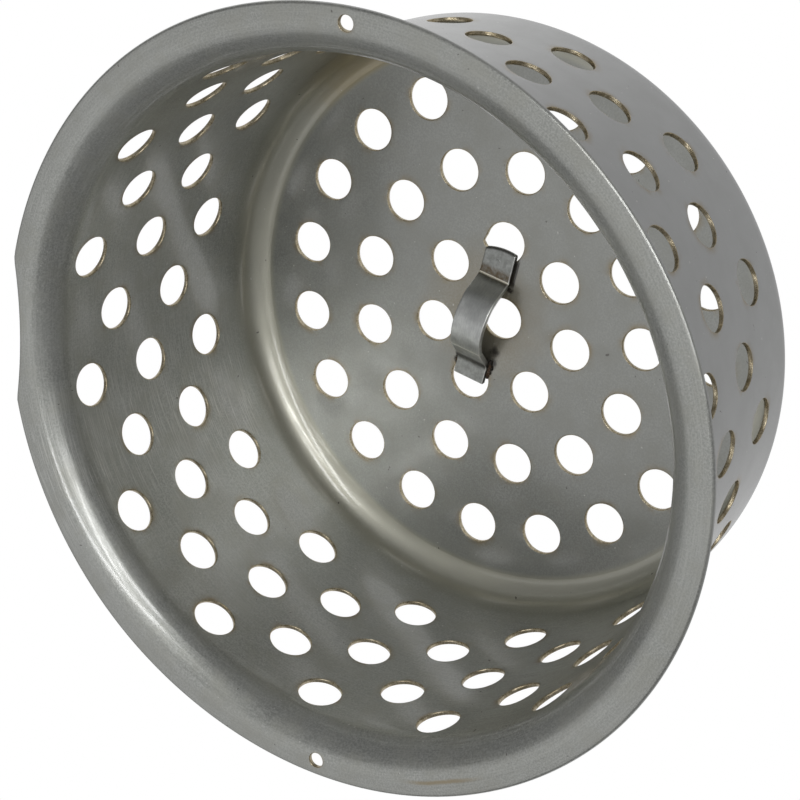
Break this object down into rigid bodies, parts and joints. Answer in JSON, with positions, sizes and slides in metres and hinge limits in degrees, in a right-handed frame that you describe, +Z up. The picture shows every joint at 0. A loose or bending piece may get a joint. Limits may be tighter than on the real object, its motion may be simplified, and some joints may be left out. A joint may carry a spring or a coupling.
{
  "type": "basket strainer",
  "caption": "Deep round strainer basket pressed from one steel sheet, with punched wall and base holes, a flat flange with a shallow edge notch, and a bent strip handle welded to the base.",
  "frame": {"origin": "centre of the base's underside", "axes": "+Z up, along the basket's axis towards its mouth; +X along the strip handle, towards its foot with the rounded end; +Y completes a right-handed frame"},
  "size_m": [0.172, 0.172, 0.0747],
  "materials": {
    "pressed_sheet": "satin, pickled stainless sheet",
    "strip": "satin, brushed stainless strip",
    "weld_metal": "heat-tinted weld metal"
  },
  "bodies": {
    "root": {"basket_shell": "pressed_sheet", "lift_strap": "strip", "spot_weld": "weld_metal", "bead_weld_left": "weld_metal", "bead_weld_right": "weld_metal"}
  },
  "joints": []
}
